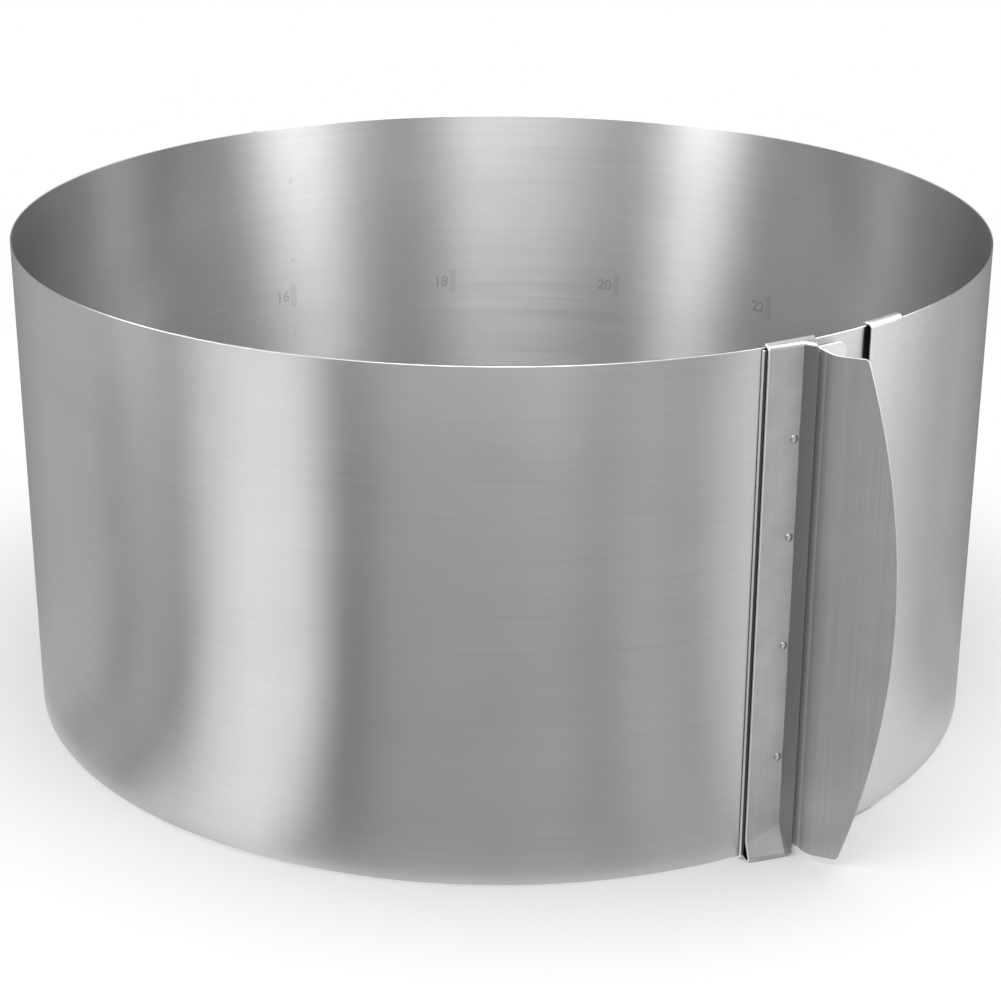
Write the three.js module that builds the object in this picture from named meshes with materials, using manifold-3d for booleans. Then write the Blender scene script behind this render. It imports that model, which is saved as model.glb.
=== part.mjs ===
// Adjustable cake ring: one spiral band of spring steel whose outer end slides over its inner end.
// Millimetres, +Z up, the ring's axis on the Z axis, the lowest folds at Z = 0.
// The front of the ring faces -Y. Plan angles start there and grow towards +X.

import * as THREE from 'three';
import { mergeVertices } from 'three/addons/utils/BufferGeometryUtils.js';
import Module from 'manifold-3d';

const wasm = await Module();
wasm.setup();

// Driving dimensions of the ring
const largestDiameter = 300;
const wallHeight = 150;
const bandSheet = 0.5;
const endOverlap = 15;
const layerPitch = 1.6;
const outerEndAngle = THREE.MathUtils.degToRad(41);

// The band bends along its whole length. It is held as short stiff strips, joined at upright bend lines.
const stripCount = 46;
const stepsPerStrip = 3;
const bendSlit = 0.1;
const rearGripStrip = 21;

// Folds over the rims, on the band's outer end and on the guide bracket
const foldSheet = 0.5;
const foldClearance = 0.2;
const foldReach = 0.6;
const endFoldWidth = 14;
const endStep = 1.1;
const endStepRun = 2;

// Outer end of the band that carries the guide bracket, joined to the ring by a narrower neck
const tongueLength = 36.9;
const neckLength = 9.2;
const neckNotchDepth = 12;
const neckStepRun = 6;
const tongueSteps = 8;

// Guide bracket: an upright plate with folds over both rims and a raised lip beside the grip
const bracketSheet = 0.6;
const bracketStandOff = 0.5;
const bracketInset = 1.5;
const bracketPlateWidth = 10.2;
const bracketPlateSteps = 3;
const bracketLipRise = 3.9;
const bracketLipRun = 1.9;
const bracketFoldRun = 4.2;

// Grips: a foot on the band and a wing that stands out from it
const gripSheet = 0.6;
const gripStandOff = 0.3;
const gripFootWidth = 10.2;
const gripFootSteps = 2;
const gripEndInset = 1.5;
const gripLegHeight = 8.4;
const gripLegLean = THREE.MathUtils.degToRad(-8);
const gripWingLean = THREE.MathUtils.degToRad(37);
const gripKneeSteps = 4;
const gripKneeRun = 4;
const gripWingEndWidth = 7.8;
const gripWingMiddleWidth = 20.4;
const gripArcSteps = 24;
const gripCutterReach = 60;

// The front grip's crease lies beside the bracket's lip, and the rear grip's within its own strip.
// The rear grip is a little shorter, so that it stays out of sight behind the wall.
const frontCreaseGap = 1.7;
const rearCreaseInset = 9.2;
const rearGripEndInset = 3.2;

// Spot welds: low domes, in upright rows given as shares of the wall's height above the lower rim
const weldRadius = 1.2;
const weldRise = 0.5;
const weldSides = 10;
const weldSeat = 0.03;
const frontWeldHeightShares = [0.2, 0.427, 0.64, 0.827];
const frontWeldInset = 1.6;
const rearWeldHeightShares = [0.28, 0.48, 0.667, 0.867];
const rearWeldInset = 2.5;

// Sizes worked out from the driving dimensions
const largestRadius = largestDiameter / 2;
const bandLength = Math.PI * largestDiameter + endOverlap;
const stripLength = bandLength / stripCount;
const rimLift = foldSheet + foldClearance;
const rimTop = rimLift + wallHeight;
const partTop = rimTop + rimLift;
const halfSheet = bandSheet / 2;
const spiralSlope = layerPitch / (2 * Math.PI * largestRadius);
const outerEndRadius = spiralRadius(0);

// Radius of the band's middle surface at a distance s along it from its outer end
function spiralRadius(s) {
  return largestRadius - layerPitch / 2 + spiralSlope * (bandLength - s);
}

// Plan angle at a distance s along the band
function bandAngle(s) {
  return outerEndAngle + Math.log(outerEndRadius / (outerEndRadius - spiralSlope * s)) / spiralSlope;
}

// Distance that the outer end is stepped outwards, so that its folds clear the inner layer
function endStepAt(s) {
  if (s >= 0) {
    return endStep * THREE.MathUtils.clamp((endFoldWidth + endStepRun - s) / endStepRun, 0, 1);
  }
  return endStep * THREE.MathUtils.clamp((neckStepRun + s) / neckStepRun, 0, 1);
}

// Plan point on the band, a given distance outside its middle surface
function bandPoint(s, offset = 0) {
  const radius = spiralRadius(s) + offset;
  const angle = bandAngle(s);
  return new THREE.Vector2(radius * Math.sin(angle), -radius * Math.cos(angle));
}

// Plan point on the band's outer end, its step included
function endPoint(s, offset = 0) {
  return bandPoint(s, offset + endStepAt(s));
}

// Evenly spaced distances from a first to a last one
function spread(first, last, steps) {
  return Array.from({ length: steps + 1 }, (_, i) => first + ((last - first) * i) / steps);
}

// Upright prism over a plan outline, between two heights
function prism(outline, low, high) {
  const shape = new THREE.Shape(outline);
  const geometry = new THREE.ExtrudeGeometry(shape, { depth: high - low, bevelEnabled: false });
  geometry.translate(0, 0, low);
  return geometry;
}

// Outline of a sheet that follows a plan line, given by its left and right sides
function sheetOutline(line, thickness) {
  const left = [];
  const right = [];
  line.forEach((point, i) => {
    const before = line[Math.max(i - 1, 0)];
    const after = line[Math.min(i + 1, line.length - 1)];
    const into = i > 0 ? point.clone().sub(before).normalize() : after.clone().sub(point).normalize();
    const out = i < line.length - 1 ? after.clone().sub(point).normalize() : into;
    const normalIn = new THREE.Vector2(-into.y, into.x);
    const normalOut = new THREE.Vector2(-out.y, out.x);
    const mitre = normalIn.clone().add(normalOut).normalize();
    const reach = thickness / 2 / mitre.dot(normalIn);
    left.push(point.clone().addScaledVector(mitre, reach));
    right.push(point.clone().addScaledVector(mitre, -reach));
  });
  return right.concat(left.reverse());
}

// Stretch of band between two distances, as a closed outline
function bandOutline(distances, pointAt) {
  const outer = distances.map((s) => pointAt(s, halfSheet));
  const inner = distances.map((s) => pointAt(s, -halfSheet));
  return outer.concat(inner.reverse());
}

function toManifold(geometry) {
  const bare = geometry.clone();
  bare.deleteAttribute('normal');
  bare.deleteAttribute('uv');
  const merged = mergeVertices(bare);
  const solid = new wasm.Mesh({
    numProp: 3,
    vertProperties: new Float32Array(merged.attributes.position.array),
    triVerts: new Uint32Array(merged.index.array),
  });
  return new wasm.Manifold(solid);
}

function toGeometry(manifold) {
  const solid = manifold.getMesh();
  const geometry = new THREE.BufferGeometry();
  geometry.setAttribute('position', new THREE.BufferAttribute(new Float32Array(solid.vertProperties), 3));
  geometry.setIndex(new THREE.BufferAttribute(new Uint32Array(solid.triVerts), 1));
  geometry.computeVertexNormals();
  return geometry;
}

function joined(geometries) {
  return toGeometry(geometries.map(toManifold).reduce((all, next) => all.add(next)));
}

const bandSteel = new THREE.MeshStandardMaterial({ color: 0xb9bbbd, roughness: 0.32, metalness: 1 });
const guideSteel = new THREE.MeshStandardMaterial({ color: 0xa3a5a6, roughness: 0.42, metalness: 1 });
const gripSteel = new THREE.MeshStandardMaterial({ color: 0xa9aaab, roughness: 0.45, metalness: 1 });
const weldSteel = new THREE.MeshStandardMaterial({ color: 0xc4c5c6, roughness: 0.35, metalness: 1 });

const cakeRing = new THREE.Group();
cakeRing.name = 'adjustable_cake_ring';

function addPiece(name, geometry, material) {
  const mesh = new THREE.Mesh(geometry, material);
  mesh.name = name;
  cakeRing.add(mesh);
  return mesh;
}

// Plan outline of a fold over the rims: from the sheet's outer side in over the inner layer
function foldOutline(outerLine, innerDistances) {
  const innerRadiusOffset = -(layerPitch + halfSheet + foldReach);
  const inner = innerDistances.map((s) => bandPoint(s, innerRadiusOffset));
  return outerLine.concat(inner.reverse());
}

// First strip of the band: its outer end, with a fold at each rim
function outerEndStrip() {
  const inset = bendSlit / 2;
  const distances = [inset, endFoldWidth / 2, endFoldWidth, endFoldWidth + endStepRun, stripLength - inset];
  const foldDistances = distances.slice(0, 3);
  const wall = prism(bandOutline(distances, endPoint), rimLift, rimTop);
  const foldWall = prism(bandOutline(foldDistances, endPoint), 0, partTop);
  const fold = foldOutline(foldDistances.map((s) => endPoint(s, halfSheet)), foldDistances);
  return joined([wall, foldWall, prism(fold, 0, foldSheet), prism(fold, partTop - foldSheet, partTop)]);
}

// Any other strip of the band
function plainStrip(index) {
  const first = index * stripLength + bendSlit / 2;
  const last = (index + 1) * stripLength - (index < stripCount - 1 ? bendSlit / 2 : 0);
  return prism(bandOutline(spread(first, last, stepsPerStrip), bandPoint), rimLift, rimTop);
}

function addBand() {
  for (let index = 0; index < stripCount; index += 1) {
    const number = String(index + 1).padStart(2, '0');
    const geometry = index === 0 ? outerEndStrip() : plainStrip(index);
    addPiece(`band_${number}`, geometry, bandSteel);
  }
}

// Tongue: the band runs on past its stepped end through a neck, and lies close on the inner layer
function addTongue() {
  const inset = bendSlit / 2;
  const plate = prism(
    bandOutline(spread(-tongueLength, -neckLength, tongueSteps), endPoint),
    rimLift,
    rimTop,
  );
  const neckDistances = [-neckLength - endStepRun, -neckLength, -neckStepRun, -neckStepRun / 2, -inset];
  const neck = prism(
    bandOutline(neckDistances, endPoint),
    rimLift + neckNotchDepth,
    rimTop - neckNotchDepth,
  );
  addPiece('band_tongue', joined([plate, neck]), bandSteel);
}

// Guide bracket on the tongue
const bracketStart = -tongueLength + bracketInset;
const bracketBend = bracketStart + bracketPlateWidth;
const bracketMiddle = halfSheet + bracketStandOff + bracketSheet / 2;

function addGuideBracket() {
  const plateDistances = spread(bracketStart, bracketBend, bracketPlateSteps);
  const line = plateDistances.map((s) => bandPoint(s, bracketMiddle));
  line.push(bandPoint(bracketBend + bracketLipRun, bracketMiddle + bracketLipRise));
  const outline = sheetOutline(line, bracketSheet);
  const plate = prism(outline, 0, partTop);
  const outerSide = outline.slice(0, line.length);
  const foldDistances = [...plateDistances, bracketBend + bracketFoldRun];
  const fold = foldOutline(outerSide, foldDistances);
  const folds = [prism(fold, 0, foldSheet), prism(fold, partTop - foldSheet, partTop)];
  addPiece('guide_bracket', joined([plate, ...folds]), guideSteel);
}

// Side view of a grip: the part kept lies inside an arc that is widest at half height.
// X runs along the wing from the knee, Y runs up.
function gripSideShape(endInset) {
  const low = rimLift + endInset;
  const high = rimTop - endInset;
  const bulge = gripWingMiddleWidth - gripWingEndWidth;
  const halfHeight = (high - low) / 2;
  const arcRadius = (halfHeight * halfHeight + bulge * bulge) / (2 * bulge);
  const halfArc = Math.asin(halfHeight / arcRadius);
  const middle = (low + high) / 2;
  const points = spread(-halfArc, halfArc, gripArcSteps).map((turn) => new THREE.Vector2(
    gripWingMiddleWidth - arcRadius + arcRadius * Math.cos(turn),
    middle + arcRadius * Math.sin(turn),
  ));
  points.push(new THREE.Vector2(-gripCutterReach, high), new THREE.Vector2(-gripCutterReach, low));
  return new THREE.Shape(points);
}

// A grip stands at its crease, a distance along the band. Its foot lies on one side of the crease,
// towards +1 or -1 along the band, and its wing leans towards larger distances. It stops short of
// both rims by the end inset.
function gripGeometry(creaseDistance, footSide, endInset) {
  const footMiddle = halfSheet + gripStandOff + gripSheet / 2;
  const footEnd = creaseDistance + footSide * gripFootWidth;
  const foot = spread(footEnd, creaseDistance, gripFootSteps).map((s) => bandPoint(s, footMiddle));
  const crease = foot[foot.length - 1];
  const angle = bandAngle(creaseDistance);
  const direction = (lean) => new THREE.Vector2(Math.sin(angle + lean), -Math.cos(angle + lean));
  const legEnd = crease.clone().addScaledVector(direction(gripLegLean), gripLegHeight - gripKneeRun / 2);
  const line = [...foot, legEnd];
  let knee = legEnd.clone();
  spread(gripLegLean, gripWingLean, gripKneeSteps).forEach((lean) => {
    knee = knee.clone().addScaledVector(direction(lean), gripKneeRun / (gripKneeSteps + 1));
    line.push(knee);
  });
  const wingDirection = direction(gripWingLean);
  line.push(knee.clone().addScaledVector(wingDirection, gripWingMiddleWidth));
  const sheet = prism(sheetOutline(line, gripSheet), 0, partTop);
  const cutter = { depth: 2 * gripCutterReach, bevelEnabled: false };
  const keep = new THREE.ExtrudeGeometry(gripSideShape(endInset), cutter);
  keep.translate(0, 0, -gripCutterReach);
  const along = new THREE.Vector3(wingDirection.x, wingDirection.y, 0);
  const up = new THREE.Vector3(0, 0, 1);
  const across = along.clone().cross(up);
  const place = new THREE.Matrix4().makeBasis(along, up, across);
  place.setPosition(knee.x, knee.y, 0);
  keep.applyMatrix4(place);
  return toGeometry(toManifold(sheet).intersect(toManifold(keep)));
}

// Domes of spot welds in one upright row, on a sheet whose outer face is a given distance out
function addWeldRow(name, distance, faceOffset, heightShares) {
  const profile = [
    new THREE.Vector2(0, 0),
    new THREE.Vector2(weldRadius, 0),
    new THREE.Vector2(weldRadius * Math.SQRT1_2, weldRise * Math.SQRT1_2),
    new THREE.Vector2(0, weldRise),
  ];
  const seat = bandPoint(distance, faceOffset + weldSeat);
  const outward = new THREE.Vector3(Math.sin(bandAngle(distance)), -Math.cos(bandAngle(distance)), 0);
  heightShares.forEach((share, i) => {
    const dome = addPiece(`${name}_${i + 1}`, new THREE.LatheGeometry(profile, weldSides), weldSteel);
    dome.quaternion.setFromUnitVectors(new THREE.Vector3(0, 1, 0), outward);
    dome.position.set(seat.x, seat.y, rimLift + share * wallHeight);
  });
}

function addGrips() {
  const frontCrease = bracketBend + bracketLipRun + frontCreaseGap + bracketSheet + gripSheet;
  addPiece('front_grip', gripGeometry(frontCrease, 1, gripEndInset), gripSteel);
  const rearCrease = (rearGripStrip + 1) * stripLength - rearCreaseInset;
  addPiece('rear_grip', gripGeometry(rearCrease, -1, rearGripEndInset), gripSteel);
  const bracketFace = bracketMiddle + bracketSheet / 2;
  addWeldRow('bracket_spot_weld', bracketBend - frontWeldInset, bracketFace, frontWeldHeightShares);
  const footFace = halfSheet + gripStandOff + gripSheet;
  addWeldRow('rear_grip_spot_weld', rearCrease - rearWeldInset, footFace, rearWeldHeightShares);
}

addBand();
addTongue();
addGuideBracket();
addGrips();

export default cakeRing;
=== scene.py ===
"""Adjustable cake ring: a spiral band of brushed spring steel, a guide bracket and two grips.

Sizes are millimetres in the ring's own frame, and MM turns them into metres. The ring's axis is Z.
Plan angles start at the front, -Y, and grow towards +X. Distances along the band, called s, start
at its outer end and grow anticlockwise as seen from above.
"""
import logging
import math
from collections.abc import Callable, Sequence
from dataclasses import dataclass
from enum import Enum

import bpy
import numpy as np
from mathutils import Euler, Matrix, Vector


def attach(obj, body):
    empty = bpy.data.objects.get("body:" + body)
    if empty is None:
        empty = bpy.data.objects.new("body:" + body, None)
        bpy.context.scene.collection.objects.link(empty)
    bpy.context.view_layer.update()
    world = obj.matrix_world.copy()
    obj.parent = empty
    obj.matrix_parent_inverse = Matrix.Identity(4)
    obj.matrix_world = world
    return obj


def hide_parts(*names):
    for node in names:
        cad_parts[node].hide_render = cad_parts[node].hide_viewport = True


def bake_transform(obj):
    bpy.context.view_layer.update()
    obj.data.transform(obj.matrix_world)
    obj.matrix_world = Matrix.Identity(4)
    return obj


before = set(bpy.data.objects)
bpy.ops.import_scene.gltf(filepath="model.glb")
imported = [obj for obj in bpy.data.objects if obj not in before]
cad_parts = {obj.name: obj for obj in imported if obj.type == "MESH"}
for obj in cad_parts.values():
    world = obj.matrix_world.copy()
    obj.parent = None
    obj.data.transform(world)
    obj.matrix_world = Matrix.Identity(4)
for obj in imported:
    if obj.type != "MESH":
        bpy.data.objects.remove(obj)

MM = 0.001
GRAIN_MAP = "Grain"
# How far in from its side, in millimetres, a sheet's cut edge carries white steel: a painted highlight for
# the glare on the edge
PAINTED_EDGE_HIGHLIGHT_WIDTH = 0.31
LOG = logging.getLogger("cake_ring")

Surface = Callable[[np.ndarray, np.ndarray], np.ndarray]


class Side(Enum):
    """How one side of a sheet ends."""

    EDGE = "bevelled cut edge"
    SEAM = "flat seam against the next piece"


class Grain(Enum):
    """Direction in which a sheet was brushed."""

    ALONG = "along the band"
    UPRIGHT = "up the wall"


Sides = tuple[Side, Side, Side, Side]
ALL_EDGES: Sides = (Side.EDGE, Side.EDGE, Side.EDGE, Side.EDGE)
ALL_SEAMS: Sides = (Side.SEAM, Side.SEAM, Side.SEAM, Side.SEAM)


@dataclass(frozen=True)
class Ring:
    """Sizes of the band that every piece follows, and the plan spiral that it lies on."""

    diameter: float = 300.0
    wall: float = 150.0
    sheet: float = 0.5
    overlap: float = 15.0
    pitch: float = 1.6
    end_angle: float = math.radians(41.0)
    strips: int = 46
    rear_grip_strip: int = 22
    rear_crease_inset: float = 9.2
    fold_sheet: float = 0.5
    fold_clearance: float = 0.2
    fold_reach: float = 0.6

    @property
    def length(self) -> float:
        """Length of the band from its outer to its inner end, without the tongue."""
        return math.pi * self.diameter + self.overlap

    @property
    def strip(self) -> float:
        """Length of one strip between two bend lines."""
        return self.length / self.strips

    @property
    def rear_crease(self) -> float:
        """Distance along the band of the rear grip's crease."""
        return self.rear_grip_strip * self.strip - self.rear_crease_inset

    @property
    def slope(self) -> float:
        """Fall of the radius for each millimetre of band."""
        return self.pitch / (math.pi * self.diameter)

    @property
    def low(self) -> float:
        """Height of the band's lower rim."""
        return self.fold_sheet + self.fold_clearance

    @property
    def high(self) -> float:
        """Height of the band's upper rim."""
        return self.low + self.wall

    @property
    def top(self) -> float:
        """Height of the upper folds' top."""
        return self.high + self.low

    @property
    def fold_end(self) -> float:
        """Offset from the outer layer at which the folds over the rims end."""
        return -(self.pitch + self.sheet / 2 + self.fold_reach)

    def radius(self, s: np.ndarray) -> np.ndarray:
        """Radius of the band's middle surface at distances s."""
        return self.diameter / 2 - self.pitch / 2 + self.slope * (self.length - s)

    def angle(self, s: np.ndarray) -> np.ndarray:
        """Plan angle at distances s."""
        first = self.radius(0.0)
        return self.end_angle + np.log(first / (first - self.slope * s)) / self.slope

    def place(self, s: np.ndarray, offset: np.ndarray, z: np.ndarray) -> np.ndarray:
        """Points in the ring's frame.

        Args:
            s: Distances along the band.
            offset: Distances outside the band's middle surface.
            z: Heights.

        Returns:
            An array of points with x, y and z in its last axis.
        """
        reach = self.radius(s) + offset
        turn = self.angle(s)
        return np.stack(np.broadcast_arrays(reach * np.sin(turn), -reach * np.cos(turn), z), axis=-1)

    def point(self, s: float, offset: float = 0.0, z: float = 0.0) -> tuple[float, float, float]:
        """One point in metres."""
        return tuple(float(c) * MM for c in self.place(s, offset, z))


class FilletLine:
    """Plane line of straight stretches joined by round bends, measured by its own length."""

    def __init__(self, corners: Sequence[tuple[float, float]], radii: Sequence[float]) -> None:
        """Works out the stretches and bends.

        Args:
            corners: The line's corners, first and last points included.
            radii: The bend radius at each inner corner.
        """
        self.parts: list[tuple[float, float, float, float, float, float]] = []
        heads = [math.atan2(b[1] - a[1], b[0] - a[0]) for a, b in zip(corners, corners[1:])]
        start, point = 0.0, np.array(corners[0], float)
        for i, head in enumerate(heads):
            target = np.array(corners[i + 1], float)
            turn = math.remainder(heads[i + 1] - head, math.tau) if i < len(radii) else 0.0
            trim = abs(radii[i] * math.tan(turn / 2)) if turn else 0.0
            length = float(np.linalg.norm(target - point)) - trim
            self.parts.append((start, point[0], point[1], head, 0.0, length))
            start += length
            point = point + length * np.array([math.cos(head), math.sin(head)])
            if turn:
                bend = radii[i] * abs(turn)
                self.parts.append((start, point[0], point[1], head, turn / bend, bend))
                start += bend
                point = target + trim * np.array([math.cos(heads[i + 1]), math.sin(heads[i + 1])])
        self.length = start

    def sample(self, w: np.ndarray) -> tuple[np.ndarray, np.ndarray]:
        """Points on the line. Past its ends it runs on straight.

        Args:
            w: Lengths from the line's start.

        Returns:
            First and second coordinate at each length.
        """
        w = np.asarray(w, float)
        first, second = np.zeros_like(w), np.zeros_like(w)
        for i, (start, x, y, head, curve, _) in enumerate(self.parts):
            held = (w >= start) | (i == 0)
            run = w - start
            if curve:
                bent_x = x + (np.sin(head + curve * run) - math.sin(head)) / curve
                bent_y = y - (np.cos(head + curve * run) - math.cos(head)) / curve
            else:
                bent_x, bent_y = x + run * math.cos(head), y + run * math.sin(head)
            first, second = np.where(held, bent_x, first), np.where(held, bent_y, second)
        return first, second

    def stations(self, spacing: float, turn: float = math.radians(10.0)) -> list[float]:
        """Lengths at which a mesh over the line has its rows.

        Args:
            spacing: Largest step on straight stretches.
            turn: Largest turn between two rows in a bend.

        Returns:
            The lengths, in order.
        """
        found = [0.0]
        for start, _, _, _, curve, length in self.parts:
            steps = math.ceil(length * abs(curve) / turn) if curve else math.ceil(length / spacing)
            found += [start + length * (k + 1) / steps for k in range(max(steps, 1))]
        return found


def spread(first: float, last: float, spacing: float) -> list[float]:
    """Even distances from first to last, no further apart than spacing."""
    steps = max(1, math.ceil(abs(last - first) / spacing))
    return [first + (last - first) * k / steps for k in range(steps + 1)]


def smooth_step(x: np.ndarray) -> np.ndarray:
    """Rises smoothly from 0 to 1 while x goes from 0 to 1."""
    x = np.clip(x, 0.0, 1.0)
    return x * x * (3.0 - 2.0 * x)


class PieceMesh:
    """Gathers closed bodies in millimetres and turns them into one object."""

    bevel: float = 0.12
    edge_row: float = 0.3
    seam_row: float = 0.1
    probe: float = 0.01
    sharp: float = math.radians(32.0)

    def __init__(self) -> None:
        """Starts with no bodies."""
        self.points: list[np.ndarray] = []
        self.grain: list[np.ndarray] = []
        self.faces: list[tuple[int, ...]] = []
        self.count = 0

    def rows(self, stations: Sequence[float], start: Side, end: Side) -> list[float]:
        """Adds the rows that each side needs beside its first and last station.

        Args:
            stations: Distances across the sheet, from side to side.
            start: How the first side ends.
            end: How the last side ends.

        Returns:
            The stations with the added rows, in order.
        """
        first, last = stations[0], stations[-1]
        near = [self.bevel, self.edge_row] if start is Side.EDGE else [self.seam_row]
        far = [self.edge_row, self.bevel] if end is Side.EDGE else [self.seam_row]
        lead = [first + d for d in near]
        tail = [last - d for d in far]
        inner = [w for w in stations[1:-1] if lead[-1] + self.seam_row < w < tail[0] - self.seam_row]
        return [first, *lead, *inner, *tail, last]

    def grid(
        self, across: Sequence[float], up: Sequence[float], sides: Sides
    ) -> tuple[np.ndarray, np.ndarray]:
        """Grid over a sheet, with the rows that its sides need.

        Args:
            across: Stations from the sheet's first side to its second.
            up: Stations from its third side to its fourth.
            sides: How the four sides end.

        Returns:
            Both coordinates at each grid point.
        """
        columns = self.rows(across, sides[0], sides[1])
        heights = self.rows(up, sides[2], sides[3])
        return tuple(np.meshgrid(columns, heights, indexing="ij"))

    def add_body(self, points: np.ndarray, grain: np.ndarray, faces: list[tuple[int, ...]]) -> None:
        """Adds one closed body, turned so that its faces point out.

        Args:
            points: Vertices, one a row.
            grain: Place of each vertex on the flat sheet, for the brushing.
            faces: Vertex numbers of each face.
        """
        volume = 0.0
        for face in faces:
            for b, c in zip(face[1:], face[2:]):
                volume += float(np.dot(points[face[0]], np.cross(points[b], points[c])))
        if volume < 0.0:
            faces = [face[::-1] for face in faces]
        self.points.append(points)
        self.grain.append(grain)
        self.faces += [tuple(self.count + i for i in face) for face in faces]
        self.count += len(points)

    def add_sheet(
        self,
        surface: Surface,
        u: np.ndarray,
        v: np.ndarray,
        thickness: float,
        sides: Sides,
    ) -> None:
        """Adds a sheet of even thickness over a grid on its middle surface.

        Args:
            surface: Gives the middle surface's points for arrays of u and v.
            u: First coordinate at each grid point, in rows of equal number.
            v: Second coordinate at each grid point.
            thickness: Thickness of the metal.
            sides: How the sheet ends at the first and last row and the first and last column.
        """
        rows, columns = u.shape
        middle = surface(u, v)
        h = self.probe
        normal = np.cross(surface(u + h, v) - surface(u - h, v), surface(u, v + h) - surface(u, v - h))
        normal /= np.linalg.norm(normal, axis=-1, keepdims=True)
        half = np.full((rows, columns), thickness / 2)
        thin = thickness / 2 - self.bevel
        borders = (np.s_[0, :], np.s_[-1, :], np.s_[:, 0], np.s_[:, -1])
        for side, border in zip(sides, borders):
            if side is Side.EDGE:
                half[border] = thin
        front = middle + normal * half[..., None]
        back = middle - normal * half[..., None]
        points = np.concatenate([front.reshape(-1, 3), back.reshape(-1, 3)])
        flat = np.stack([u, v], axis=-1).reshape(-1, 2)
        grain = np.concatenate([flat, flat + thickness])
        size = rows * columns

        def at(i: int, j: int, side: int) -> int:
            """Number of a grid point's vertex on the front, 0, or the back, 1."""
            return side * size + i * columns + j

        faces: list[tuple[int, ...]] = []
        for i in range(rows - 1):
            for j in range(columns - 1):
                faces.append((at(i, j, 0), at(i + 1, j, 0), at(i + 1, j + 1, 0), at(i, j + 1, 0)))
                faces.append((at(i, j, 1), at(i, j + 1, 1), at(i + 1, j + 1, 1), at(i + 1, j, 1)))
        for i in range(rows - 1):
            for j, flip in ((0, False), (columns - 1, True)):
                wall = (at(i, j, 0), at(i, j, 1), at(i + 1, j, 1), at(i + 1, j, 0))
                faces.append(wall[::-1] if flip else wall)
        for j in range(columns - 1):
            for i, flip in ((0, True), (rows - 1, False)):
                wall = (at(i, j, 0), at(i, j, 1), at(i, j + 1, 1), at(i, j + 1, 0))
                faces.append(wall[::-1] if flip else wall)
        self.add_body(points, grain, faces)

    def add_dome(
        self,
        centre: np.ndarray,
        out: np.ndarray,
        profile: Sequence[tuple[float, float]],
        sides: int = 28,
    ) -> None:
        """Adds a low dome with a flat base.

        Args:
            centre: Middle of its base.
            out: Unit direction in which it rises.
            profile: Radius and rise of each ring from the base inwards; the last lies on the axis.
            sides: Number of points in each ring.
        """
        up = np.array([0.0, 0.0, 1.0])
        across = np.cross(up, out)
        across /= np.linalg.norm(across)
        turns = np.arange(sides) * math.tau / sides
        spokes = np.cos(turns)[:, None] * across + np.sin(turns)[:, None] * up
        rings = [centre + r * spokes + rise * out for r, rise in profile[:-1]]
        tip = centre + profile[-1][1] * out
        points = np.concatenate([*rings, tip[None, :], centre[None, :]])
        flat = [np.stack([r * np.cos(turns), r * np.sin(turns)], axis=-1) for r, _ in profile[:-1]]
        grain = np.concatenate([*flat, np.zeros((1, 2)), np.full((1, 2), profile[0][0])])
        last = len(rings) - 1
        tip_number, base_number = len(rings) * sides, len(rings) * sides + 1
        faces: list[tuple[int, ...]] = []
        for k in range(sides):
            n = (k + 1) % sides
            for ring in range(last):
                here, above = ring * sides, (ring + 1) * sides
                faces.append((here + k, here + n, above + n, above + k))
            faces.append((last * sides + k, last * sides + n, tip_number))
            faces.append((n, k, base_number))
        self.add_body(points, grain, faces)

    def build(self, name: str, finish: bpy.types.Material) -> bpy.types.Object:
        """Makes the object.

        Args:
            name: Name of the piece.
            finish: Its material.

        Returns:
            The new object, linked to the scene.
        """
        mesh = bpy.data.meshes.new(name)
        points = np.concatenate(self.points) * MM
        mesh.from_pydata(points.tolist(), [], self.faces)
        mesh.polygons.foreach_set("use_smooth", [True] * len(mesh.polygons))
        layer = mesh.uv_layers.new(name=GRAIN_MAP)
        corners = np.empty(len(mesh.loops), dtype=np.int32)
        mesh.loops.foreach_get("vertex_index", corners)
        layer.data.foreach_set("uv", (np.concatenate(self.grain) * MM)[corners].astype(np.float32).ravel())
        mesh.set_sharp_from_angle(angle=self.sharp)
        mesh.materials.append(finish)
        mesh.update()
        piece = bpy.data.objects.new(name, mesh)
        bpy.context.scene.collection.objects.link(piece)
        LOG.info("%s: %d faces", name, len(mesh.polygons))
        return piece


def grey(level: float) -> tuple[float, float, float, float]:
    """Neutral colour of one level."""
    return level, level, level, 1.0


def around(middle: float, change: float) -> tuple[float, float]:
    """Range that reaches as far below a middle value as above it."""
    return middle - change, middle + change


def empty_tree(owner: bpy.types.Material | bpy.types.World) -> bpy.types.NodeTree:
    """Empties the node tree of a new material or world.

    Args:
        owner: The material or world.

    Returns:
        Its node tree.
    """
    owner.use_nodes = True
    owner.node_tree.nodes.clear()
    return owner.node_tree


def calculated(
    tree: bpy.types.NodeTree,
    operation: str,
    first: bpy.types.NodeSocket,
    second: bpy.types.NodeSocket | float,
) -> bpy.types.NodeSocket:
    """Joins two values by one operation.

    Args:
        tree: The node tree.
        operation: Name of the operation.
        first: Socket of the first value.
        second: Socket of the second value, or a number.

    Returns:
        The result's socket.
    """
    node = tree.nodes.new("ShaderNodeMath")
    node.operation = operation
    tree.links.new(first, node.inputs[0])
    if isinstance(second, bpy.types.NodeSocket):
        tree.links.new(second, node.inputs[1])
    else:
        node.inputs[1].default_value = second
    return node.outputs["Value"]


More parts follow.
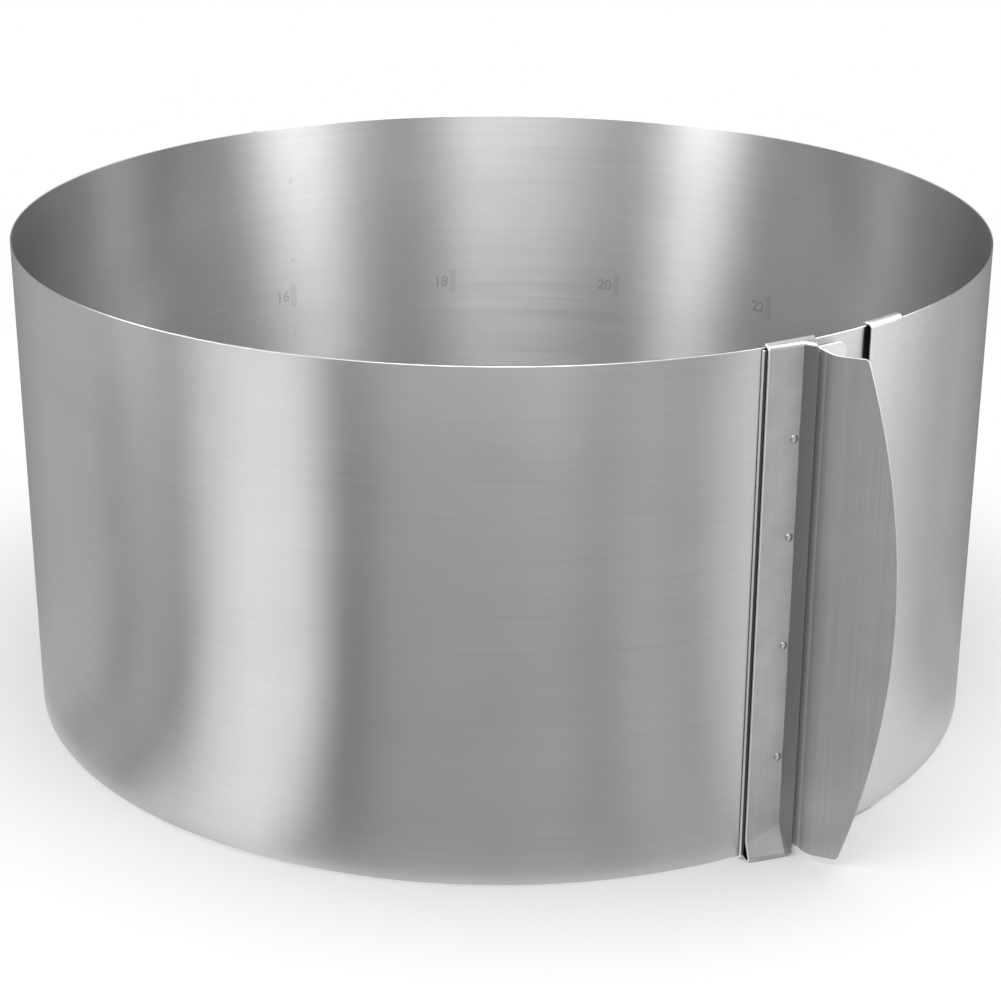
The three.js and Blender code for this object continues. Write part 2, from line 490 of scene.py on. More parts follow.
def ranged(
    tree: bpy.types.NodeTree,
    value: bpy.types.NodeSocket,
    source: tuple[float, float],
    target: tuple[float, float] = (0.0, 1.0),
    smooth: bool = False,
) -> bpy.types.NodeSocket:
    """Maps a value from one range to another.

    Args:
        tree: The node tree.
        value: Socket of the value.
        source: Lowest and highest value that goes in.
        target: What they become.
        smooth: Whether the change starts and ends softly.

    Returns:
        The result's socket.
    """
    node = tree.nodes.new("ShaderNodeMapRange")
    node.interpolation_type = "SMOOTHSTEP" if smooth else "LINEAR"
    for name, number in zip(("From Min", "From Max", "To Min", "To Max"), (*source, *target)):
        node.inputs[name].default_value = number
    tree.links.new(value, node.inputs["Value"])
    return node.outputs["Result"]


@dataclass(frozen=True)
class BrushedSteel:
    """Brushed stainless steel: streaks along the grain in colour, gloss and surface."""

    name: str
    grain: Grain
    colour: tuple[float, float, float] = (0.68, 0.685, 0.69)
    roughness: float = 0.32
    gloss_change: float = 0.03
    anisotropy: float = 1.0
    along_turn: float = 0.25
    streak: float = 0.05
    streak_range: tuple[float, float] = (0.6, 1.4)
    streaks_per_metre: float = 2600.0
    streak_runs_per_metre: float = 22.0
    streak_roughness: float = 0.6
    fine_detail: float = 4.0
    broad_share: float = 0.22
    broad_detail: float = 3.0
    blotch: float = 0.03
    blotch_range: tuple[float, float] = (0.3, 0.7)
    blotches_per_metre: float = 35.0
    blotch_detail: float = 3.0
    relief: float = 0.12
    relief_depth: float = 0.02

    @property
    def grain_turn(self) -> float:
        """Share of a full turn by which the gloss is turned to lie along the grain."""
        return self.along_turn if self.grain is Grain.ALONG else 0.0

    def build(self) -> bpy.types.Material:
        """Makes the material.

        Returns:
            The new material.
        """
        material = bpy.data.materials.new(self.name)
        tree = empty_tree(material)
        nodes, links = tree.nodes, tree.links
        output = nodes.new("ShaderNodeOutputMaterial")
        shader = nodes.new("ShaderNodeBsdfPrincipled")
        links.new(shader.outputs["BSDF"], output.inputs["Surface"])
        shader.inputs["Metallic"].default_value = 1.0
        shader.inputs["Anisotropic"].default_value = self.anisotropy
        shader.inputs["Anisotropic Rotation"].default_value = self.grain_turn
        tangent = nodes.new("ShaderNodeTangent")
        tangent.direction_type = "UV_MAP"
        tangent.uv_map = GRAIN_MAP
        links.new(tangent.outputs["Tangent"], shader.inputs["Tangent"])

        place = nodes.new("ShaderNodeUVMap")
        place.uv_map = GRAIN_MAP
        fine = self.stretched_noise(tree, place, 1.0, self.fine_detail)
        broad = self.stretched_noise(tree, place, self.broad_share, self.broad_detail)
        cloud = nodes.new("ShaderNodeTexNoise")
        cloud.inputs["Scale"].default_value = self.blotches_per_metre
        cloud.inputs["Detail"].default_value = self.blotch_detail
        links.new(place.outputs["UV"], cloud.inputs["Vector"])

        streaks = calculated(tree, "ADD", fine.outputs["Fac"], broad.outputs["Fac"])
        tone = ranged(tree, streaks, self.streak_range, around(1.0, self.streak))
        patch = ranged(tree, cloud.outputs["Fac"], self.blotch_range, around(1.0, self.blotch))
        colour = nodes.new("ShaderNodeVectorMath")
        colour.operation = "SCALE"
        colour.inputs[0].default_value = self.colour
        links.new(calculated(tree, "MULTIPLY", tone, patch), colour.inputs["Scale"])
        links.new(colour.outputs["Vector"], shader.inputs["Base Color"])
        gloss = ranged(tree, streaks, self.streak_range, around(self.roughness, self.gloss_change))
        links.new(gloss, shader.inputs["Roughness"])
        bump = nodes.new("ShaderNodeBump")
        bump.inputs["Strength"].default_value = self.relief
        bump.inputs["Distance"].default_value = self.relief_depth * MM
        links.new(streaks, bump.inputs["Height"])
        links.new(bump.outputs["Normal"], shader.inputs["Normal"])
        return material

    def stretched_noise(
        self, tree: bpy.types.NodeTree, place: bpy.types.Node, share: float, detail: float
    ) -> bpy.types.Node:
        """Noise drawn out along the grain.

        Args:
            tree: The material's node tree.
            place: Node that gives the place on the sheet.
            share: Share of the finest streaks' number.
            detail: Levels of detail.

        Returns:
            The noise node.
        """
        stretch = tree.nodes.new("ShaderNodeMapping")
        across, along = self.streaks_per_metre * share, self.streak_runs_per_metre * share
        scale = (along, across, 1.0) if self.grain is Grain.ALONG else (across, along, 1.0)
        stretch.inputs["Scale"].default_value = scale
        noise = tree.nodes.new("ShaderNodeTexNoise")
        noise.inputs["Scale"].default_value = 1.0
        noise.inputs["Detail"].default_value = detail
        noise.inputs["Roughness"].default_value = self.streak_roughness
        tree.links.new(place.outputs["UV"], stretch.inputs["Vector"])
        tree.links.new(stretch.outputs["Vector"], noise.inputs["Vector"])
        return noise


def paint_shade_or_highlight(
    piece: bpy.types.Object, finish: bpy.types.Material, chosen: Callable[[float, float], bool]
) -> None:
    """Gives a part of a sheet another material; every part given one here is painted shade or a painted
    highlight.

    Args:
        piece: The sheet.
        finish: The part's material, with the painted shade or highlight.
        chosen: Tells from a face's place on the flat sheet, across and up, whether it is in the part.
    """
    mesh = piece.data
    mesh.materials.append(finish)
    places = mesh.uv_layers[GRAIN_MAP].data
    for face in mesh.polygons:
        corners = [places[corner].uv / MM for corner in face.loop_indices]
        across, up = (sum(values) / len(corners) for values in zip(*corners))
        if chosen(across, up):
            face.material_index = len(mesh.materials) - 1


def section(number: int) -> str:
    """Name of the body that holds one strip of the band."""
    return f"section_{number:02d}"


def strip_node(number: int) -> str:
    """Name of one strip's node."""
    return f"band_{number:02d}"


@dataclass
class Band:
    """The band: its plain length in pieces, its folded outer end, and its tongue."""

    ring: Ring
    finish: bpy.types.Material
    edge_painted_highlight: bpy.types.Material
    painted_gap_shade: bpy.types.Material
    column: float = 1.4
    fine_column: float = 0.7
    edge_column: float = 0.1
    end_fold_width: float = 13.4
    end_step: float = 0.1
    end_step_run: float = 20.0
    end_crease: float = 0.04
    end_crease_run: float = 1.2
    end_bend_start: float = 16.0
    fold_bend: float = 1.3
    tongue_length: float = 36.9
    neck_length: float = 9.2
    neck_notch: float = 15.0
    neck_step_run: float = 6.0
    tongue_press: float = 0.45
    tongue_press_width: float = 7.0
    tongue_edge_drop: float = 0.6
    tongue_edge_width: float = 0.9
    tongue_rim_inset: float = 0.5
    tongue_trim: float = 3.7
    tongue_trim_start: float = 25.5
    # Width of the tongue's free cut edge that gets white steel, a painted highlight
    painted_edge_highlight_width: float = 0.55
    # Width of the tongue's strip beside the bracket that gets near-black steel, painted shade for the gap
    painted_gap_shade_width: float = 2.0

    def centre(self, number: int) -> float:
        """Distance along the band of one strip's middle."""
        return (number - 0.5) * self.ring.strip

    def wall(self, s: np.ndarray, z: np.ndarray) -> np.ndarray:
        """Middle surface of the plain band."""
        return self.ring.place(s, 0.0, z)

    def end_rise(self, s: np.ndarray) -> np.ndarray:
        """How far the outer end steps out over the inner layer at distances s."""
        crease = self.end_crease * smooth_step((self.end_fold_width - s) / self.end_crease_run)
        return self.end_step * (1.0 - smooth_step(s / self.end_step_run)) + crease

    def end_wall(self, s: np.ndarray, z: np.ndarray) -> np.ndarray:
        """Middle surface where the outer end steps out over the inner layer."""
        return self.ring.place(s, self.end_rise(s), z)

    def tongue_wall(self, s: np.ndarray, z: np.ndarray) -> np.ndarray:
        """Middle surface of the tongue and its neck.

        Args:
            s: Distances along the band.
            z: Heights.

        Returns:
            Points in the ring's frame.
        """
        rise = self.end_rise(0.0) * smooth_step((s + self.neck_step_run) / self.neck_step_run)
        inwards = s + self.tongue_length
        press = self.tongue_press * (1.0 - smooth_step(inwards / self.tongue_press_width))
        drop = self.tongue_edge_drop * (1.0 - smooth_step(inwards / self.tongue_edge_width))
        return self.ring.place(s, rise - press - drop, z)

    def stretch(
        self, name: str, surface: Surface, s: Sequence[float], start: Side, end: Side
    ) -> bpy.types.Object:
        """One plain stretch of band from rim to rim.

        Args:
            name: Name of the piece.
            surface: Its middle surface.
            s: Distances along the band.
            start: How its first side ends.
            end: How its last side ends.

        Returns:
            The new piece.
        """
        mesh = PieceMesh()
        sides = (start, end, Side.EDGE, Side.EDGE)
        u, v = mesh.grid(s, [self.ring.low, self.ring.high], sides)
        mesh.add_sheet(surface, u, v, self.ring.sheet, sides)
        piece = mesh.build(name, self.finish)
        return piece

    def bend(self, piece: bpy.types.Object, number: int, start: float | None = None) -> None:
        """Bakes a piece's placement into its mesh; it lies between one strip's body and the next one's.

        Args:
            piece: The piece.
            number: Number of the first strip.
            start: Distance along the band where the bend starts, or None for that strip's middle.
        """
        first = self.centre(number) if start is None else start
        ring = self.ring
        end = ring.point(self.centre(number + 1))
        ring.point(first)
        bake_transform(piece)

    def carry(self, piece: bpy.types.Object, s: float) -> None:
        """Attaches a small piece that lies on the band to the first strip's body near the outer end or the
        last strip's body near the inner end; elsewhere it only bakes its placement.

        Args:
            piece: The piece.
            s: Its distance along the band.
        """
        number = int(s / self.ring.strip + 0.5)
        if s < self.end_bend_start:
            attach(piece, section(1))
        elif number < self.ring.strips:
            self.bend(piece, number)
        else:
            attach(piece, section(self.ring.strips))

    def build_folded_end(self) -> None:
        """Outer end, whose sheet folds over both rims of the layer inside it."""
        ring = self.ring
        low = ring.fold_sheet / 2
        high = ring.top - low
        corners = [(ring.fold_end, low), (0.0, low), (0.0, high), (ring.fold_end, high)]
        profile = FilletLine(corners, [self.fold_bend, self.fold_bend])

        def surface(s: np.ndarray, w: np.ndarray) -> np.ndarray:
            """Middle surface: s runs along the band, w up the sheet and over both folds."""
            offset, z = profile.sample(w)
            return ring.place(s, offset + self.end_rise(s), z)

        mesh = PieceMesh()
        sides = (Side.EDGE, Side.SEAM, Side.EDGE, Side.EDGE)
        columns = spread(0.0, self.end_fold_width, self.column)
        u, v = mesh.grid(columns, profile.stations(ring.wall), sides)
        mesh.add_sheet(surface, u, v, ring.fold_sheet, sides)
        piece = mesh.build("outer_end_folds", self.finish)
        # The free cut edge gets white steel: a painted highlight
        paint_shade_or_highlight(piece, self.edge_painted_highlight, lambda across, up: across <= PAINTED_EDGE_HIGHLIGHT_WIDTH)
        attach(piece, section(1))
        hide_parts(strip_node(1))

    def build_tongue(self) -> None:
        """Tongue under the bracket and grip, and the narrower neck that joins it to the band."""
        ring = self.ring
        first = -self.tongue_length
        edge_columns = spread(first, first + 2 * self.tongue_edge_width, self.edge_column)
        columns = [*edge_columns, *spread(edge_columns[-1], -self.neck_length, self.fine_column)[1:]]
        mesh = PieceMesh()
        rims = [ring.low + self.tongue_rim_inset, ring.high - self.tongue_rim_inset]
        u, v = mesh.grid(columns, rims, ALL_EDGES)
        side = np.where(v > (ring.low + ring.high) / 2, 1.0, -1.0)
        z = v - side * self.tongue_trim * smooth_step(u + self.tongue_trim_start)
        mesh.add_sheet(self.tongue_wall, u, z, ring.sheet, ALL_EDGES)
        tongue = mesh.build("tongue", self.finish)
        # The tongue's strip beside the bracket gets near-black steel: painted shade for the shadowed gap
        # under the plate
        paint_shade_or_highlight(tongue, self.painted_gap_shade, lambda across, up: across <= first + self.painted_gap_shade_width)
        # The tongue's free cut edge gets white steel: a painted highlight
        paint_shade_or_highlight(tongue, self.edge_painted_highlight, lambda across, up: across <= first + self.painted_edge_highlight_width)
        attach(tongue, "guide")
        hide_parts("band_tongue")
        mesh = PieceMesh()
        sides = (Side.SEAM, Side.SEAM, Side.EDGE, Side.EDGE)
        heights = [ring.low + self.neck_notch, ring.high - self.neck_notch]
        u, v = mesh.grid(spread(-self.neck_length, 0.0, self.fine_column), heights, sides)
        mesh.add_sheet(self.tongue_wall, u, v, ring.sheet, sides)
        neck = mesh.build("neck", self.finish)
        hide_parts("band_tongue")
        ring.point(-self.neck_step_run)
        ring.point(0.0)
        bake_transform(neck)

    def build(self) -> None:
        """Builds the whole band from its outer to its inner end."""
        ring = self.ring
        self.build_folded_end()
        self.build_tongue()
        stations = spread(self.end_fold_width, self.centre(2), self.fine_column)
        stepped = self.stretch("band_piece_01", self.end_wall, stations, Side.SEAM, Side.SEAM)
        self.bend(stepped, 1, self.end_bend_start)
        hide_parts(strip_node(1), strip_node(2))
        for number in range(2, ring.strips):
            stations = spread(self.centre(number), self.centre(number + 1), self.column)
            piece = self.stretch(f"band_piece_{number:02d}", self.wall, stations, Side.SEAM, Side.SEAM)
            self.bend(piece, number)
            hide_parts(strip_node(number), strip_node(number + 1))
        stations = spread(self.centre(ring.strips), ring.length, self.column)
        last = self.stretch(f"band_piece_{ring.strips}", self.wall, stations, Side.SEAM, Side.EDGE)
        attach(last, section(ring.strips))
        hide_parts(strip_node(ring.strips))


@dataclass(frozen=True)
class WeldRow:
    """One upright row of spot welds, given by shares of the wall's height."""

    distance: float
    face: float
    shares: tuple[float, ...]
    dent_depth: float = 0.25
    dent_width: float = 2.3

    def heights(self, ring: Ring) -> list[float]:
        """Heights of the welds."""
        return [ring.low + share * ring.wall for share in self.shares]

    def dent(self, ring: Ring, s: np.ndarray, z: np.ndarray) -> np.ndarray:
        """Depth to which the sheet is drawn in round the welds.

        Args:
            ring: Sizes of the ring.
            s: Distances along the band.
            z: Heights.

        Returns:
            The depth at each point.
        """
        depth = np.zeros(np.broadcast(s, z).shape)
        for height in self.heights(ring):
            far = ((s - self.distance) ** 2 + (z - height) ** 2) / (2 * self.dent_width**2)
            depth = depth + self.dent_depth * np.exp(-far)
        return depth


@dataclass
class SpotWelds:
    """Low bright domes of the spot welds, and the faint marks that they leave inside the band."""

    ring: Ring
    finish: bpy.types.Material
    radius: float = 1.2
    rise: float = 0.5
    seat: float = 0.02
    ring_turns: tuple[float, ...] = (0.0, 12.0, 28.0, 45.0, 62.0, 78.0)
    fullness: float = 0.8
    mark_radius: float = 1.0
    mark_crown_share: float = 0.8
    mark_rise: float = 0.03
    mark_seat: float = 0.006

    def profile(self) -> list[tuple[float, float]]:
        """Shape of the dome from its foot to its crown.

        Returns:
            Radius and rise of each ring.
        """
        turns = [math.radians(a) for a in self.ring_turns]
        rings = [(self.radius * math.cos(a), self.rise * math.sin(a) ** self.fullness) for a in turns]
        return [*rings, (0.0, self.rise)]

    def build(self, name: str, row: WeldRow, body: str) -> None:
        """Builds one row of welds.

        Args:
            name: Name of the row's nodes, without their numbers.
            row: Where the welds lie.
            body: The body that carries them.
        """
        ring = self.ring
        turn = float(ring.angle(row.distance))
        out = np.array([math.sin(turn), -math.cos(turn), 0.0])
        for number, height in enumerate(row.heights(ring), start=1):
            mesh = PieceMesh()
            seat = ring.place(row.distance, row.face - row.dent_depth + self.seat, height)
            mesh.add_dome(seat, out, self.profile())
            dome = mesh.build(f"{name}_dome_{number}", self.finish)
            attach(dome, body)
            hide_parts(f"{name}_{number}")

    def build_marks(self, name: str, row: WeldRow, band: Band, finish: bpy.types.Material) -> None:
        """Builds the faint round marks of one row on the inside of the band.

        Args:
            name: Name of the marks, without their numbers.
            row: Where the welds lie.
            band: The band that carries the marks.
            finish: Their material.
        """
        ring = self.ring
        turn = float(ring.angle(row.distance))
        inwards = np.array([-math.sin(turn), math.cos(turn), 0.0])
        crown = self.mark_crown_share * self.mark_radius
        profile = [(self.mark_radius, 0.0), (crown, self.mark_rise), (0.0, self.mark_rise)]
        for number, height in enumerate(row.heights(ring), start=1):
            mesh = PieceMesh()
            seat = ring.place(row.distance, self.mark_seat - ring.sheet / 2, height)
            mesh.add_dome(seat, inwards, profile)
            mark = mesh.build(f"{name}_{number}", finish)
            band.carry(mark, row.distance)


@dataclass
class GuideBracket:
    """Plate on the tongue, with a fold over each rim, a raised lip, and a facet pressed at its foot."""

    ring: Ring
    finish: bpy.types.Material
    lip_painted_shade: bpy.types.Material
    edge_painted_highlight: bpy.types.Material
    band: Band
    column: float = 0.7
    row: float = 0.9
    sheet: float = 0.6
    stand_off: float = 0.5
    inset: float = 1.0
    plate_width: float = 10.7
    plate_lift: float = -0.8
    lip_rise: float = 3.9
    lip_run: float = 1.9
    lip_bend: float = 0.7
    fold_bend: float = 1.25
    fold_run: float = 5.5
    fold_shift: float = 0.7
    facet_side_slope: float = 0.206
    facet_height_slope: float = 0.4127
    facet_start: float = 3.7
    facet_softness: float = 0.16
    weld_inset: float = 1.6
    weld_shares: tuple[float, ...] = (0.2, 0.427, 0.64, 0.827)
    grip_gap: float = 1.7

    @property
    def start(self) -> float:
        """Distance along the band of the plate's free side."""
        return -self.band.tongue_length + self.inset

    @property
    def crease(self) -> float:
        """Distance along the band of the bend between plate and lip."""
        return self.start + self.plate_width

    @property
    def middle(self) -> float:
        """Offset of the plate's middle surface from the band's."""
        return self.ring.sheet / 2 + self.stand_off + self.sheet / 2

    @property
    def welds(self) -> WeldRow:
        """The row of welds beside the lip.

        Returns:
            The row, on the outer face of the leaning plate.
        """
        lean = self.plate_lift * self.weld_inset / self.plate_width
        face = self.middle + lean + self.sheet / 2
        return WeldRow(self.crease - self.weld_inset, face, self.weld_shares)

    def grip_crease(self, grip_sheet: float) -> float:
        """Distance along the band of the front grip's crease, for the thickness of its sheet."""
        return self.crease + self.lip_run + self.grip_gap + self.sheet + grip_sheet

    def facet_rise(self, s: np.ndarray, z: np.ndarray) -> np.ndarray:
        """How far the facet's plane lies outside the plate."""
        return self.facet_side_slope * (s - self.start) - self.facet_height_slope * (z - self.facet_start)

    def build(self) -> None:
        """Builds the bracket."""
        ring = self.ring
        lip = (self.crease + self.lip_run, self.middle + self.lip_rise)
        side_edge = (self.start, self.middle + self.plate_lift)
        plan = FilletLine([side_edge, (self.crease, self.middle), lip], [self.lip_bend])
        low, high = self.sheet / 2, ring.top - self.sheet / 2
        reach = self.middle - ring.fold_end
        corners = [(-reach, low), (0.0, low), (0.0, high), (-reach, high)]
        side = FilletLine(corners, [self.fold_bend, self.fold_bend])
        welds = self.welds
        fold_width = self.plate_width + self.fold_run

        def surface(w: np.ndarray, q: np.ndarray) -> np.ndarray:
            """Middle surface of the bracket.

            Args:
                w: Lengths along the plan line, from the plate's free side over the lip.
                q: Lengths up the side, from one fold's end to the other's.

            Returns:
                Points in the ring's frame.
            """
            s, base = plan.sample(w)
            inward, z = side.sample(q)
            soft = self.facet_softness
            offset = soft * np.logaddexp(base / soft, (self.middle + self.facet_rise(s, z)) / soft)
            offset = offset - welds.dent(ring, s, z)
            share = np.clip((-inward - self.fold_bend) / (reach - self.fold_bend), 0.0, None)
            bent = offset + np.maximum(inward, -self.fold_bend)
            offset = bent + (ring.fold_end - bent) * share
            fold_s = self.start + self.fold_shift + fold_width * w / plan.length
            return ring.place(s + (fold_s - s) * share, offset, z)

        mesh = PieceMesh()
        u, v = mesh.grid(plan.stations(self.column), side.stations(self.row), ALL_EDGES)
        mesh.add_sheet(surface, u, v, self.sheet, ALL_EDGES)
        piece = mesh.build("guide_bracket_sheet", self.finish)

        def on_painted_lip_shade(across: float, up: float) -> bool:
            """Whether a face lies on the lip's upright part, which gets darker steel as painted shade."""
            return across >= self.plate_width and reach <= up <= side.length - reach

        # The lip's upright part gets darker steel: painted shade
        paint_shade_or_highlight(piece, self.lip_painted_shade, on_painted_lip_shade)
        # The plate's free cut edge gets white steel: a painted highlight
        paint_shade_or_highlight(piece, self.edge_painted_highlight, lambda across, up: across <= PAINTED_EDGE_HIGHLIGHT_WIDTH)
        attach(piece, "guide")
        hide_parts("guide_bracket")


@dataclass
class Grip:
    """Folded sheet with a foot on the band and a wing whose outer edge is an arc."""

    ring: Ring
    finish: bpy.types.Material
    foot_painted_highlight: bpy.types.Material
    leg_painted_highlight: bpy.types.Material
    name: str
    node: str
    body: str
    crease: float
    foot_side: int
    end_inset: float = 1.5
    weld_shares: tuple[float, ...] = ()
    weld_inset: float = 2.5
    sheet: float = 0.6
    stand_off: float = 0.3
    foot_width: float = 10.2
    leg: float = 8.4
    leg_lean: float = math.radians(-8.0)
    wing_lean: float = math.radians(37.0)
    crease_bend: float = 0.8
    knee_bend: float = 6.5
    wing_end: float = 9.2
    wing_middle: float = 20.4
    foot_corner: float = 3.2
    foot_corner_turns: tuple[float, ...] = (0.0, 18.0, 36.0, 54.0, 72.0, 90.0)
    wing_corner: float = 0.8
    wing_corner_turns: tuple[float, ...] = (0.0, 25.0, 50.0, 70.0, 90.0)
    edge_keep: float = 0.6
    column: float = 1.1
    row: float = 2.0

    @property
    def welds(self) -> WeldRow:
        """The row of welds through the foot; a grip that is held otherwise has an empty row."""
        face = self.ring.sheet / 2 + self.stand_off + self.sheet
        return WeldRow(self.crease + self.foot_side * self.weld_inset, face, self.weld_shares)

    def plan_line(self) -> FilletLine:
        """Line of the sheet in plan.

        Returns:
            The line, from the foot's side over crease and knee to the wing's widest reach.
        """
        middle = self.ring.sheet / 2 + self.stand_off + self.sheet / 2
        radius = float(self.ring.radius(self.crease)) + middle

        def spot(x: float, y: float) -> tuple[float, float]:
            """Distance along the band and offset of a point sideways and outwards from the crease."""
            along = self.crease + radius * math.atan2(x, radius + y)
            return along, middle + math.hypot(x, radius + y) - radius

        knee = (self.leg * math.sin(self.leg_lean), self.leg * math.cos(self.leg_lean))
        tip = (
            knee[0] + self.wing_middle * math.sin(self.wing_lean),
            knee[1] + self.wing_middle * math.cos(self.wing_lean),
        )
        foot = (self.crease + self.foot_side * self.foot_width, middle)
        corners = [foot, (self.crease, middle), spot(*knee), spot(*tip)]
        return FilletLine(corners, [self.crease_bend, self.knee_bend])

    def wing_width(self, z: np.ndarray) -> np.ndarray:
        """Width of the wing: an arc, with its corners rounded.

        Args:
            z: Heights.

        Returns:
            The width at each height.
        """
        low, high = self.ring.low + self.end_inset, self.ring.high - self.end_inset
        bulge = self.wing_middle - self.wing_end
        half = (high - low) / 2
        radius = (half * half + bulge * bulge) / (2 * bulge)
        up = np.clip(z - (low + high) / 2, -half, half)
        width = self.wing_middle - radius + np.sqrt(radius * radius - up * up)
        return width - self.rounding(half - np.abs(up), self.wing_corner)

    def rounding(self, distance: np.ndarray, corner: float) -> np.ndarray:
        """How far a rounded corner cuts in at a distance from the side it starts at."""
        left = np.clip(corner - distance, 0.0, corner)
        return corner - np.sqrt(corner * corner - left * left)

    def corner_rows(self, corner: float, turns: Sequence[float]) -> list[float]:
        """Distances from a side at which a rounded corner has its mesh rows."""
        return [corner * (1 - math.cos(math.radians(a))) for a in turns]

    def build(self) -> None:
        """Builds the grip."""
        ring = self.ring
        plan = self.plan_line()
        low, high = ring.low + self.end_inset, ring.high - self.end_inset
        welds = self.welds

        def surface(w: np.ndarray, z: np.ndarray) -> np.ndarray:
            """Middle surface: w runs along the plan line from the foot, z up."""
            s, offset = plan.sample(w)
            return ring.place(s, offset - welds.dent(ring, s, z), z)

        mesh = PieceMesh()
        foot_rows = self.corner_rows(self.foot_corner, self.foot_corner_turns)
        along = sorted({*foot_rows, *(w for w in plan.stations(self.column) if w > foot_rows[-1])})
        wing_rows = self.corner_rows(self.wing_corner, self.wing_corner_turns)
        inner = [z for z in spread(low, high, self.row) if low + wing_rows[-1] < z < high - wing_rows[-1]]
        up = [*(low + r for r in wing_rows), *inner, *(high - r for r in reversed(wing_rows))]
        u, v = mesh.grid(along, up, ALL_EDGES)
        fixed = plan.length - self.wing_middle + self.knee_bend / 2
        shift = self.wing_middle - self.wing_width(v)
        reach = np.clip((u - fixed) / (plan.length - fixed - self.edge_keep), 0.0, 1.0)
        w = u - shift * reach
        cut = self.rounding(u, self.foot_corner)
        share = np.clip((v - low) / (high - low) * 2.0 - 1.0, -1.0, 1.0)
        z = v - cut * share
        mesh.add_sheet(surface, w, z, self.sheet, ALL_EDGES)
        piece = mesh.build(self.name, self.finish)
        foot_end = self.foot_width - self.crease_bend
        leg_end = self.foot_width + self.leg - self.knee_bend / 2
        # The foot gets brighter steel: a painted highlight
        paint_shade_or_highlight(piece, self.foot_painted_highlight, lambda across, up: across <= foot_end)
        # The leg between crease and knee gets white steel: a painted highlight
        paint_shade_or_highlight(piece, self.leg_painted_highlight, lambda across, up: foot_end < across <= leg_end)
        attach(piece, self.body)
        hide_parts(self.node)


@dataclass
class SizeScale:
    """Marks and numbers inside the band that show the ring's diameter in centimetres."""

    ring: Ring
    band: Band
    tick_finish: bpy.types.Material
    number_finish: bpy.types.Material
    first_mark: float
    smallest: int = 16
    largest: int = 30
    step: int = 2
    tick_low: float = 83.0
    tick_high: float = 92.0
    tick_width: float = 2.5
    number_height: float = 3.8
    font_size_share: float = 1.42
    outline_steps: int = 4
    number_gap: float = 0.5
    boldness: float = 0.13
    proud: float = 0.02
    band_per_size: float = math.pi * 10.0

    def mark_distance(self, size: int) -> float:
        """Distance along the band of one size's mark."""
        return self.first_mark - (size - self.smallest) * self.band_per_size

    def inner_face(self, s: np.ndarray, z: np.ndarray) -> np.ndarray:
        """Inner face of the band."""
        return self.ring.place(s, self.band.end_rise(s) - self.ring.sheet / 2, z)

    def numeral(self, text: str) -> tuple[np.ndarray, list[tuple[int, ...]]]:
        """Flat solid numerals.

        Args:
            text: The number.

        Returns:
            Vertices in millimetres, from the number's right side and its foot, and faces.
        """
        curve = bpy.data.curves.new("number", "FONT")
        curve.body = text
        curve.size = self.number_height * self.font_size_share
        curve.align_x = "RIGHT"
        curve.offset = self.boldness
        curve.extrude = self.proud
        curve.resolution_u = self.outline_steps
        holder = bpy.data.objects.new("number", curve)
        bpy.context.scene.collection.objects.link(holder)
        bpy.context.view_layer.update()
        shown = holder.evaluated_get(bpy.context.evaluated_depsgraph_get())
        mesh = bpy.data.meshes.new_from_object(shown)
        points = np.array([tuple(v.co) for v in mesh.vertices])
        faces = [tuple(p.vertices) for p in mesh.polygons]
        bpy.data.objects.remove(holder)
        bpy.data.curves.remove(curve)
        bpy.data.meshes.remove(mesh)
        return points, faces

    def build_tick(self, size: int) -> None:
        """Builds one size's upright mark.

        Args:
            size: The ring's diameter in centimetres.
        """
        mark = self.mark_distance(size)
        columns = [mark - self.tick_width / 2, mark + self.tick_width / 2]
        u, v = np.meshgrid(columns, [self.tick_low, self.tick_high], indexing="ij")
        mesh = PieceMesh()
        mesh.add_sheet(self.inner_face, u, v, 2 * self.proud, ALL_SEAMS)
        tick = mesh.build(f"size_mark_{size}", self.tick_finish)
        self.band.carry(tick, mark)

    def build_number(self, size: int) -> None:
        """Builds one size's number, which stands to the left of its mark as seen from inside.

        Args:
            size: The ring's diameter in centimetres.
        """
        points, faces = self.numeral(str(size))
        s = self.mark_distance(size) + self.tick_width / 2 + self.number_gap - points[:, 0]
        z = (self.tick_low + self.tick_high - self.number_height) / 2 + points[:, 1]
        offset = self.band.end_rise(s) - self.ring.sheet / 2 - points[:, 2]
        mesh = PieceMesh()
        mesh.add_body(self.ring.place(s, offset, z), np.stack([s, z], axis=-1), faces)
        number = mesh.build(f"size_number_{size}", self.number_finish)
        self.band.carry(number, float(s.min() + s.max()) / 2)

    def build(self) -> None:
        """Builds every size's mark and number."""
        for size in range(self.smallest, self.largest + 1, self.step):
            self.build_tick(size)
            self.build_number(size)


@dataclass(frozen=True)
class Tone:
    """Brightness of the light tent at one plan angle, 0 at the front and 90 at the right."""

    angle: float
    level: float

    @property
    def share(self) -> float:
        """Place of the angle in the full turn, from the back over left, front and right."""
        return (self.angle + 180.0) / 360.0


